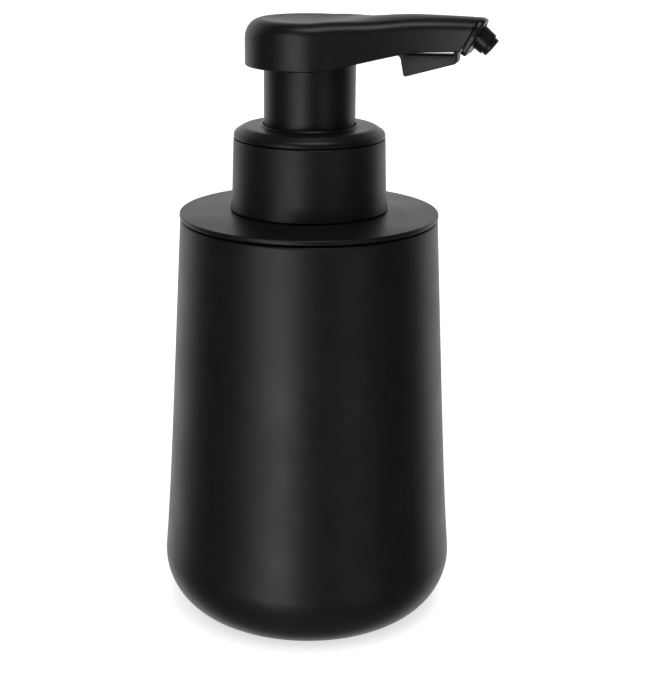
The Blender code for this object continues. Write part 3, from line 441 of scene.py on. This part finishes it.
def lid():
    """The lid's disc with its plug, seal groove and screw neck."""
    low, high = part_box("lid_plate")
    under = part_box("body_shell")[1].z + 0.5 * MM
    edge_top = under + 1.3 * MM
    top = edge_top + 0.9 * MM
    collar_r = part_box("collar")[1].x
    plug = 32.5 * MM
    plug_inner = plug - 2.8 * MM
    groove_r = plug - 1.0 * MM
    groove_top = under - 2.6 * MM
    groove_base = groove_top - 2.6 * MM
    corners = [(NECK_BORE, high.z, 0.3 * MM), (NECK_R, high.z, 0.4 * MM)]
    corners += [(NECK_R, top, 0.4 * MM), (collar_r, top)]
    corners += [(high.x - 0.1 * MM, edge_top + 0.05 * MM, 0.28 * MM), (high.x, under, 0.4 * MM)]
    corners += [(plug, under, 0.3 * MM), (plug, groove_top), (groove_r, groove_top)]
    corners += [(groove_r, groove_base), (plug, groove_base), (plug, low.z, 0.6 * MM)]
    corners += [(plug_inner, low.z, 0.4 * MM), (plug_inner, under, 0.8 * MM)]
    corners += [(NECK_BORE, under, 0.3 * MM)]
    finish_piece(turned(corners), "lid_disc", "lid", "lid", ["lid_plate"])
    neck_thread(top + 3.0 * MM)


def neck_thread(base):
    """The rounded thread on the lid's neck."""
    form = bmesh.new()
    section = [(-0.3, -0.9), (0.25, -0.5), (0.52, -0.2), (0.52, 0.2), (0.25, 0.5), (-0.3, 0.9)]
    dots = [form.verts.new((NECK_R + across * MM, 0.0, base + along * MM)) for across, along in section]
    face = form.faces.new(dots)
    steps = 108
    rise = THREAD_TURNS * THREAD_PITCH
    bmesh.ops.spin(form, geom=[*dots, *face.edges, face], cent=(0, 0, 0), axis=(0, 0, 1),
                   dvec=(0, 0, rise / steps), angle=THREAD_TURNS * FULL_TURN, steps=steps)
    finish_piece(form, "neck_thread", "lid", "lid")


def seal():
    low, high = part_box("lid_seal")
    inner = 31.8 * MM
    shoulder_r = high.x - 0.5 * MM
    corners = [(inner, high.z, 0.2 * MM), (shoulder_r, high.z, 0.3 * MM)]
    corners += [(high.x, (low.z + high.z) / 2.0, 0.35 * MM)]
    corners += [(shoulder_r, low.z, 0.3 * MM), (inner, low.z, 0.2 * MM)]
    finish_piece(turned(corners), "lid_seal_ring", "silicone", "lid", ["lid_seal"])


# --- collar, cap and neck -------------------------------------------------

def collar():
    low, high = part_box("collar")
    foot_r = high.x
    top_r = foot_r - 1.0 * MM
    bore = top_r - COLLAR_WALL
    corners = [(bore, high.z, 0.3 * MM), (top_r, high.z, 0.3 * MM)]
    corners += [(foot_r - 0.55 * MM, low.z + 3.6 * MM, 8.0 * MM)]
    corners += [(foot_r - 0.1 * MM, low.z + 0.5 * MM, 0.5 * MM), (foot_r, low.z, 0.25 * MM)]
    corners += [(bore, low.z, 0.3 * MM)]
    finish_piece(turned(corners), "screw_collar", "collar", "collar", ["collar"])


def cap():
    """The rounded ring on the collar, with a raised lip round the neck and a spigot below."""
    low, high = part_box("collar_cap")
    top_r = high.x
    hole = 12.7 * MM
    top = high.z - 0.5 * MM
    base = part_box("collar")[1].z + GAP
    wall = 1.4 * MM
    inner_top = base + 0.6 * MM
    spigot = top_r - COLLAR_WALL - GAP
    corners = [(hole, high.z, 0.12 * MM), (hole + 0.5 * MM, high.z, 0.3 * MM)]
    corners += [(hole + 0.95 * MM, top, 0.35 * MM), (top_r - 2.7 * MM, top - 0.05 * MM, 2.6 * MM)]
    corners += [(top_r - 0.15 * MM, top - 1.7 * MM, 1.7 * MM)]
    corners += [(top_r, base, 0.22 * MM), (spigot, base), (spigot, low.z, 0.2 * MM)]
    corners += [(spigot - wall, low.z, 0.2 * MM), (spigot - wall, inner_top), (hole + wall, inner_top)]
    corners += [(hole + wall, low.z, 0.2 * MM), (hole, low.z, 0.2 * MM)]
    finish_piece(turned(corners), "collar_top", "cap", "collar", ["collar_cap"])


def sleeve():
    """The wide neck, with the plate that closes the head from below."""
    low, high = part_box("neck_sleeve")
    bore = SLEEVE_R - SLEEVE_WALL
    plate = HEAD_RIM + 2.2 * MM
    corners = [(bore, high.z, 0.2 * MM), (high.x, high.z, 0.2 * MM), (high.x, plate, 0.25 * MM)]
    corners += [(SLEEVE_R, plate, 0.9 * MM), (SLEEVE_R, low.z, 0.25 * MM), (bore, low.z, 0.2 * MM)]
    finish_piece(turned(corners), "neck_tube", "sleeve", "head", ["neck_sleeve"])


# --- head -----------------------------------------------------------------

def half_width(x):
    """Half the head's width: a round pad that runs into a slimmer spout."""
    if x <= SPOUT_START:
        return math.sqrt(max(PAD_R ** 2 - x ** 2, 0.0))
    start = math.sqrt(PAD_R ** 2 - SPOUT_START ** 2)
    start_slope = SPOUT_START / start
    span = SPOUT_REACH - SPOUT_START
    t = min((x - SPOUT_START) / span, 1.0)
    blend = (2 * t ** 3 - 3 * t ** 2 + 1) * start - (t ** 3 - 2 * t ** 2 + t) * start_slope * span
    return blend + (3 * t ** 2 - 2 * t ** 3) * SPOUT_HALF - (t ** 3 - t ** 2) * SPOUT_TAPER * span


def ease(share):
    """Go from 0 to 1 with level ends."""
    t = min(max(share, 0.0), 1.0)
    return t * t * (3.0 - 2.0 * t)


def crown(x):
    """Height of the top along the spout."""
    rise = CROWN_RISE * ease((x - CROWN_START) / (CROWN_TOP - CROWN_START))
    past = max(x - CROWN_TOP, 0.0) / (SPOUT_REACH - CROWN_TOP)
    return THUMB_FACE + rise - CROWN_FALL * past * past


def soft_ramp(x):
    """Nothing before zero and x after it, with a soft bend between."""
    return (x + math.hypot(x, UNDERSIDE_SOFT)) / 2.0


def underside(x):
    """Height of the skirt's rim: level round the neck, rising under the spout."""
    rise = UNDERSIDE_SLOPE * soft_ramp(x - UNDERSIDE_START)
    return HEAD_RIM + rise - UNDERSIDE_EASE * soft_ramp(x - UNDERSIDE_BREAK)


def plan_half():
    """One side of the head's plan as (x, y, inward normal), from past the end plate round to the back."""
    points = []
    flank_steps, arc_steps = 40, 48
    reach = SPOUT_REACH + 6.0 * MM
    for step in range(flank_steps):
        x = reach + (SPOUT_START - reach) * step / flank_steps
        slope = (half_width(x + 0.01 * MM) - half_width(x - 0.01 * MM)) / (0.02 * MM)
        inward = Vector((slope if step else 0.0, 1.0)) / math.hypot(slope, 1.0)
        points.append((x, -half_width(x), inward))
    tangent = math.acos(SPOUT_START / PAD_R)
    for step in range(arc_steps):
        angle = tangent + (math.pi - tangent) * step / (arc_steps - 0.5)
        outward = Vector((math.cos(angle), -math.sin(angle)))
        points.append((PAD_R * outward.x, PAD_R * outward.y, -outward))
    return points


def top_tilt(x):
    """Slope of the top where it meets the shoulder: level on the pad, arched along the spout."""
    return ARCH_TILT * ease((x - ARCH_START) / (ARCH_FULL - ARCH_START))


def shoulder(x, share):
    """Inset and height on the oval shoulder, from the wall at 0 to the top at 1."""
    tilt = top_tilt(x)
    tall = SHOULDER_FRONT + (SHOULDER_BACK - SHOULDER_FRONT) * ease(-x / PAD_R)
    full = math.atan2(tall, SHOULDER * math.tan(tilt))
    sag = (half_width(x) - SHOULDER * (1.0 - math.cos(full))) * math.tan(tilt) / 2.0
    angle = full * share
    height = crown(x) - sag - tall * (math.sin(full) - math.sin(angle))
    return SHOULDER * (1.0 - math.cos(angle)), height


def ceiling(x):
    """Height of the outside that the ceiling inside is measured down from."""
    return crown(x) - top_tilt(x) * 2.0 * MM


def flank(x, share):
    """Height on the head's side wall, from the rim at 0 to the shoulder at 1."""
    return underside(x) + (shoulder(x, 0.0)[1] - underside(x)) * share


def head_rows():
    """Rings of the head as functions of x, from the ceiling inside, down, round the rim and up."""
    rows = []
    inner_round = SHOULDER - HEAD_WALL
    for step in range(6, -1, -1):
        angle = math.radians(15.0 * step)
        inset = HEAD_WALL + inner_round * (1.0 - math.cos(angle))
        lift = inner_round * (math.sin(angle) - 1.0) - HEAD_WALL
        rows.append(lambda x, inset=inset, lift=lift: (inset, ceiling(x) + lift))
    rows.append(lambda x: (HEAD_WALL, underside(x) + RIM_HOLD))
    for step in range(5):
        angle = math.radians(22.5 * step)
        inset = HEAD_WALL - RIM_INNER * (1.0 - math.cos(angle))
        lift = RIM_INNER * (1.0 - math.sin(angle))
        rows.append(lambda x, inset=inset, lift=lift: (inset, underside(x) + lift))
    for step in range(7):
        angle = math.radians(90.0 - 15.0 * step)
        inset = RIM_ROUND * (1.0 - math.cos(angle))
        lift = RIM_ROUND * (1.0 - math.sin(angle))
        rows.append(lambda x, inset=inset, lift=lift: (inset, underside(x) + lift))
    rows.append(lambda x: (0.0, underside(x) + RIM_HOLD))
    for share in (0.35, 0.7, 0.95):
        rows.append(lambda x, share=share: (0.0, flank(x, share)))
    for step in range(13):
        rows.append(lambda x, share=step / 12.0: shoulder(x, share))
    return rows


def thumb_dish(x, y):
    """Depth of the shallow dish under the thumb."""
    away = math.hypot(x, y) / DISH_R
    return DISH_DEEP * max(1.0 - away * away, 0.0)


def close_top(form, ring, cuts):
    """Bridge the two sides of a ring across the head and cut the rungs finer."""
    near = [e for e in ring if all(v.co.y < 0.0 for v in e.verts)]
    far = [e for e in ring if all(v.co.y > 0.0 for v in e.verts)]
    made = bmesh.ops.bridge_loops(form, edges=near + far)
    rungs = {e for f in made["faces"] for e in f.edges if e.verts[0].co.y * e.verts[1].co.y < 0.0}
    fine = bmesh.ops.subdivide_edges(form, edges=list(rungs - set(ring)), cuts=cuts, use_grid_fill=True)
    return only(bmesh.types.BMVert, fine["geom_inner"])


def head():
    """The press head: rings from the ceiling inside, round the rim and up, cut at the end plate."""
    rows = head_rows()
    half = plan_half()
    plan = half + [(x, -y, Vector((inward.x, -inward.y))) for x, y, inward in reversed(half)]
    form = bmesh.new()
    step_of = form.verts.layers.int.new("step")

    def spot(row, index):
        x, y, inward = plan[index]
        inset, height = rows[row](x)
        return Vector((x + inward.x * inset, y + inward.y * inset, height))

    count = len(plan)
    dots = [form.verts.new(spot(0, index)) for index in range(count)]
    for index, dot in enumerate(dots):
        dot[step_of] = index
    ring = [form.edges.new((dots[index - 1], dots[index])) for index in range(count)]
    inside = ring
    for row in range(1, len(rows)):
        grown = bmesh.ops.extrude_edge_only(form, edges=ring)["geom"]
        ring = only(bmesh.types.BMEdge, grown)
        for dot in only(bmesh.types.BMVert, grown):
            dot.co = spot(row, dot[step_of])
    close_top(form, inside, CEILING_CUTS)
    for dot in close_top(form, ring, TOP_CUTS):
        edge = half_width(dot.co.x) - shoulder(dot.co.x, 1.0)[0]
        arch = math.tan(top_tilt(dot.co.x)) * dot.co.y ** 2 / (2.0 * max(edge, 0.1 * MM))
        dot.co.z = crown(dot.co.x) - arch - thumb_dish(dot.co.x, dot.co.y)
    bmesh.ops.recalc_face_normals(form, faces=form.faces)
    rims = trim(form, PLATE_CENTRE - PLATE_AXIS * SEAM, outside=True)
    bmesh.ops.bridge_loops(form, edges=rims)
    finish_piece(form, "press_head", "head", "head", ["head_shell"], sharp=40.0)


def closing_strip():
    """The strip inside the skirt that closes the spout's hollow."""
    form = bmesh.new()
    inset = HEAD_WALL + GAP
    start, end = PAD_R - 0.6 * MM, TONGUE_END + 0.6 * MM
    steps = 24
    stations = [start + (end - start) * step / steps for step in range(steps + 1)]
    spots = [(x, -(half_width(x) - inset), underside(x) + 0.1 * MM) for x in stations]
    chain = [form.verts.new(spot) for spot in spots]
    runs = [form.edges.new(pair) for pair in zip(chain, chain[1:])]
    across = bmesh.ops.extrude_edge_only(form, edges=runs)["geom"]
    for dot in only(bmesh.types.BMVert, across):
        dot.co.y = -dot.co.y
    thicken(form, form.faces[:], (0, 0, STRIP_THICK))
    finish_piece(form, "spout_strip", "plate", "head")


def tongue_outline(root, wall):
    """The tongue seen from the side, from where it leaves the strip, down, and back along the slit."""
    inner, outer = underside(TONGUE_START), underside(TONGUE_END)
    joined = 0.12 * MM
    lead = TONGUE_START - 2.2 * MM
    corners = [(lead, underside(lead) + joined), (TONGUE_START + 0.1 * MM, inner - 0.4 * MM, 1.4 * MM)]
    corners += [(TONGUE_START + 1.2 * MM, inner - TONGUE_DEEP, 0.7 * MM)]
    corners += [(TONGUE_END - 0.4 * MM, outer - 3.5 * MM, 0.9 * MM)]
    corners += [(TONGUE_END, outer - 2.6 * MM, 0.5 * MM), (TONGUE_END, outer + joined)]
    corners += [(wall, underside(wall) + joined), (wall, outer - 1.0 * MM, 0.3 * MM)]
    corners += [(root, underside(root) - 0.35 * MM, 0.2 * MM)]
    corners += [(root - 0.6 * MM, underside(root) + joined)]
    return outline(corners, True)


def on_tongue_side(edge):
    """Whether an edge lies along one of the tongue's two flat sides."""
    first, second = (end.co.y for end in edge.verts)
    near = 0.01 * MM
    return abs(abs(first) - TONGUE_HALF) < near and abs(first - second) < near


def tongue():
    """The tongue that hangs under the spout by both ends, with an open slit above it."""
    root, wall = TONGUE_START + 2.2 * MM, TONGUE_END - 1.0 * MM
    form = bmesh.new()
    spots = [(point.x, -TONGUE_HALF, point.y) for point in tongue_outline(root, wall)]
    face = form.faces.new([form.verts.new(spot) for spot in spots])
    thicken(form, [face], (0, 2.0 * TONGUE_HALF, 0))
    rims = {e for f in form.faces if len(f.verts) > 4 for e in f.edges}
    ledge = [e for e in rims if root < sum(v.co.x for v in e.verts) / 2.0 < wall
             and all(v.co.z > underside(v.co.x) - 1.3 * MM for v in e.verts)]
    soften(form, ledge, 0.55 * MM, 3)
    sharp = [e for e in form.edges if len(e.link_faces) == 2 and e.calc_face_angle() > 1.2]
    soften(form, [e for e in sharp if on_tongue_side(e)], 0.25 * MM, 3)
    piece = finish_piece(form, "spout_tongue", "head", "head", ["spout_cover"])
    piece.data.materials.append(finishes["ledge"])
    for face in piece.data.polygons:
        if root < face.center.x < wall and face.normal.z > 0.8:
            face.material_index = 1


def end_plate():
    """The slanted plate, with a shallow panel in front and a locating rib behind."""
    form = bmesh.new()
    across = Vector((0.0, 1.0, 0.0))
    turn = Matrix((across, PLATE_UP, PLATE_AXIS)).transposed().to_4x4()
    wide, tall = SPOUT_HALF + 0.05 * MM, PLATE_LENGTH / 2.0
    top = tall - 0.25 * MM
    corners = [(-wide, -tall, 1.3 * MM), (wide, -tall, 1.3 * MM)]
    corners += [(wide, top, 4.7 * MM), (-wide, top, 4.7 * MM)]
    form.faces.new([form.verts.new((point.x, point.y, 0.0)) for point in outline(corners, True)])
    thicken(form, form.faces[:], (0, 0, PLATE_THICK))
    rims = {e for f in form.faces if len(f.verts) > 4 for e in f.edges}
    soften(form, list(rims), 0.38 * MM, 4)
    front = [f for f in form.faces if len(f.verts) > 4 and f.calc_center_median().z > PLATE_THICK / 2.0]
    bmesh.ops.inset_region(form, faces=front, thickness=0.7 * MM, depth=0.0)
    bmesh.ops.inset_region(form, faces=front, thickness=0.25 * MM, depth=-0.2 * MM)
    back = [f for f in form.faces if len(f.verts) > 4 and f.calc_center_median().z < PLATE_THICK / 2.0]
    bmesh.ops.inset_region(form, faces=back, thickness=1.5 * MM, depth=0.0)
    bmesh.ops.inset_region(form, faces=back, thickness=0.05 * MM, depth=1.4 * MM)
    bmesh.ops.transform(form, matrix=Matrix.Translation(PLATE_CENTRE) @ turn, verts=form.verts)
    finish_piece(form, "spout_end", "plate", "head", ["end_plate"])


def nozzle():
    """The stepped outlet, cut off on the end plate."""
    outer, tip, bore = 3.2 * MM, 2.6 * MM, 1.6 * MM
    step, end = 3.4 * MM, 4.7 * MM
    corners = [(bore, -2.5 * MM), (bore, end, 0.25 * MM), (tip, end, 0.3 * MM), (tip, step, 0.12 * MM)]
    corners += [(outer - 0.12 * MM, step, 0.3 * MM), (outer + 0.1 * MM, -2.5 * MM)]
    form = turned(corners, steps=SMALL_STEPS)
    bmesh.ops.transform(form, matrix=slanted(NOZZLE_AXIS, NOZZLE_ROOT), verts=form.verts)
    rims = trim(form, NOZZLE_ROOT + PLATE_AXIS * 0.05 * MM, outside=False)
    bmesh.ops.bridge_loops(form, edges=rims)
    finish_piece(form, "nozzle_outlet", "nozzle", "head", ["nozzle_tip"])


# --- pump inside ----------------------------------------------------------

def housing():
    """Flange, air cylinder, liquid cylinder, ball seat and tube socket."""
    low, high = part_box("pump_housing")
    wall = 1.2 * MM
    inner_r, liquid_r, tube_r, bore = 15.0 * MM, 5.0 * MM, 3.3 * MM, 1.6 * MM
    air_r = inner_r + wall
    flange_base = high.z - 1.4 * MM
    air_floor = high.z - 30.0 * MM
    liquid_floor = air_floor - 26.0 * MM
    seat = liquid_floor - 2.8 * MM
    socket = seat - wall
    corners = [(inner_r, high.z, 0.3 * MM), (high.x, high.z, 0.3 * MM), (high.x, flange_base, 0.3 * MM)]
    corners += [(air_r, flange_base, 0.5 * MM), (air_r, air_floor, 0.6 * MM)]
    corners += [(inner_r, air_floor - wall, 1.0 * MM), (liquid_r + wall, air_floor - wall, 1.2 * MM)]
    corners += [(liquid_r + wall, seat, 0.6 * MM), (tube_r + wall, socket, 0.6 * MM)]
    corners += [(tube_r + wall, low.z, 0.3 * MM), (tube_r, low.z, 0.2 * MM)]
    corners += [(tube_r, socket), (bore, socket), (bore, seat)]
    corners += [(bore + 2.0 * MM, liquid_floor, 0.2 * MM), (liquid_r, liquid_floor, 0.3 * MM)]
    corners += [(liquid_r, air_floor, 0.4 * MM), (inner_r, air_floor, 0.8 * MM)]
    cylinder = turned(corners, steps=96)
    finish_piece(cylinder, "pump_cylinder", "housing", "pump", ["pump_housing"])


def dip():
    low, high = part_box("dip_tube")
    outer, inner = high.x, high.x - 0.8 * MM
    corners = [(inner, high.z, 0.15 * MM), (outer, high.z, 0.2 * MM)]
    corners += [(outer, low.z, 0.2 * MM), (inner, low.z, 0.15 * MM)]
    finish_piece(turned(corners, steps=48), "suction_tube", "tube", "pump", ["dip_tube"])


def spring():
    """Round wire wound in a helix, with closed end turns."""
    low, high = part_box("return_spring")
    wire = 0.4 * MM
    radius = high.x - wire
    start = Matrix.Translation((radius, 0, low.z + wire)) @ Matrix.Rotation(math.pi / 2, 4, "X")
    form = bmesh.new()
    made = bmesh.ops.create_circle(form, cap_ends=True, radius=wire, segments=12, matrix=start)
    grown = made["verts"] + form.edges[:] + form.faces[:]
    length = high.z - low.z - 2.0 * wire
    closed_rise = 0.95 * MM
    for turns, rise in ((1.0, closed_rise), (5.0, length - 2.0 * closed_rise), (1.0, closed_rise)):
        steps = int(turns * 40)
        grown = bmesh.ops.spin(form, geom=grown, cent=(0, 0, 0), axis=(0, 0, 1), steps=steps,
                               dvec=(0, 0, rise / steps), angle=turns * FULL_TURN)["geom_last"]
    piece = finish_piece(form, "coil_spring", "spring", "pump", ["return_spring"])
    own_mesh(piece)


def repaint():
    """The pieces that keep the CAD shape, with their own finishes."""
    kept = {"housing_gasket": "foam", "air_valve": "silicone", "spout_duct": "nozzle",
            "inlet_ball": "ball", "outlet_ball": "ball", "lower_screen": "screen",
            "upper_screen": "screen", "liquid_piston": "piston", "air_piston": "piston",
            "piston_stem": "stem", "mesh_cartridge": "stem"}
    for name, finish in kept.items():
        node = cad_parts[name]
        node.data.materials.clear()
        node.data.materials.append(finishes[finish])


# --- studio ---------------------------------------------------------------

def direction(azimuth, elevation):
    """A direction by its angle to the right of the camera's side, and its height, in degrees."""
    around = math.radians(azimuth) + CAMERA_TURN
    level = math.cos(math.radians(elevation))
    return (math.sin(around) * level, -math.cos(around) * level, math.sin(math.radians(elevation)))


def surround():
    """White paper for the camera; for reflections, white behind, dark in front, and soft boxes."""
    world = bpy.data.worlds.new("studio")
    bpy.context.scene.world = world
    world.use_nodes = True
    nodes, links = world.node_tree.nodes, world.node_tree.links
    nodes.clear()
    place = nodes.new("ShaderNodeTexCoord")

    def ramp(source, start, end, strength):
        """Fade in from one value of the source to another."""
        made = nodes.new("ShaderNodeMapRange")
        made.interpolation_type = "SMOOTHERSTEP"
        made.inputs["From Min"].default_value = start
        made.inputs["From Max"].default_value = end
        made.inputs["To Max"].default_value = strength
        links.new(source, made.inputs["Value"])
        return made.outputs["Result"]

    def along(vector):
        made = nodes.new("ShaderNodeVectorMath")
        made.operation = "DOT_PRODUCT"
        made.inputs[1].default_value = vector
        links.new(place.outputs["Generated"], made.inputs[0])
        return made.outputs["Value"]

    def join(operation, first, second):
        made = nodes.new("ShaderNodeMath")
        made.operation = operation
        links.new(first, made.inputs[0])
        if isinstance(second, float):
            made.inputs[1].default_value = second
        else:
            links.new(second, made.inputs[1])
        return made.outputs[0]

    def lobe(azimuth, elevation, inner, outer, strength):
        """A round patch of light, full inside one angle and gone past another."""
        inner, outer = math.cos(math.radians(inner)), math.cos(math.radians(outer))
        return ramp(along(direction(azimuth, elevation)), outer, inner, strength)

    behind = lobe(180, 0, BACK_FULL, BACK_WIDE, 1.0)
    fade_top, fade_base = math.radians(BACK_TOP), math.radians(BACK_TOP - BACK_FADE)
    not_high = ramp(along((0.0, 0.0, 1.0)), math.sin(fade_top), math.sin(fade_base), BACK_LIGHT)
    total = join("MULTIPLY", behind, not_high)
    for box in SOFT_BOXES:
        total = join("ADD", total, lobe(*box))
    total = join("ADD", total, AMBIENT)
    seen = nodes.new("ShaderNodeBackground")
    seen.inputs["Color"].default_value = (PAPER, PAPER, PAPER, 1.0)
    studio = nodes.new("ShaderNodeBackground")
    studio.inputs["Color"].default_value = (1.0, 1.0, 1.0, 1.0)
    links.new(total, studio.inputs["Strength"])
    path = nodes.new("ShaderNodeLightPath")
    mix = nodes.new("ShaderNodeMixShader")
    out = nodes.new("ShaderNodeOutputWorld")
    links.new(path.outputs["Is Camera Ray"], mix.inputs[0])
    links.new(studio.outputs[0], mix.inputs[1])
    links.new(seen.outputs[0], mix.inputs[2])
    links.new(mix.outputs[0], out.inputs["Surface"])


def floor():
    form = bmesh.new()
    bmesh.ops.create_circle(form, cap_ends=True, radius=3.0, segments=64)
    mesh = bpy.data.meshes.new("floor")
    form.to_mesh(mesh)
    form.free()
    mesh.transform(Matrix.Translation((0.0, 0.0, -FLOOR_DROP)))
    ground = bpy.data.objects.new("floor", mesh)
    bpy.context.scene.collection.objects.link(ground)
    paper, _, _, surface = new_finish("white_paper")
    surface.inputs["Base Color"].default_value = (0.8, 0.8, 0.8, 1.0)
    surface.inputs["Roughness"].default_value = 0.9
    surface.inputs["Specular IOR Level"].default_value = 0.0
    surface.inputs["Emission Color"].default_value = (1.0, 1.0, 1.0, 1.0)
    surface.inputs["Emission Strength"].default_value = FLOOR_GLOW
    mesh.materials.append(paper)
    ground.visible_glossy = False
    ground.visible_shadow = False


def top_light():
    """A wide lamp above and in front, for the close shadow under the vessel."""
    data = bpy.data.lights.new("overhead", "SUN")
    data.energy = TOP_LIGHT
    data.angle = TOP_SPREAD
    lamp = bpy.data.objects.new("overhead", data)
    bpy.context.scene.collection.objects.link(lamp)
    lamp.location = (0.0, 0.0, 1.0)
    lamp.rotation_euler = (LAMP_LEAN, 0.0, CAMERA_TURN)
    lamp.visible_glossy = False


def camera():
    data = bpy.data.cameras.new("camera")
    data.lens = CAMERA_LENS
    data.sensor_width = 36.0
    made = bpy.data.objects.new("camera", data)
    bpy.context.scene.collection.objects.link(made)
    turn = Matrix.Rotation(CAMERA_TURN, 4, "Z")
    tilt = Matrix.Rotation(math.pi / 2.0 - CAMERA_DOWN, 4, "X") @ Matrix.Rotation(CAMERA_ROLL, 4, "Z")
    made.matrix_world = turn @ Matrix.Translation(CAMERA_PLACE) @ tilt
    bpy.context.scene.camera = made
    bpy.context.scene.view_settings.view_transform = "Standard"


camera()
surround()
floor()
top_light()
vessel()
foot()
lid()
seal()
collar()
cap()
sleeve()
head()
closing_strip()
tongue()
end_plate()
nozzle()
housing()
dip()
spring()
repaint()
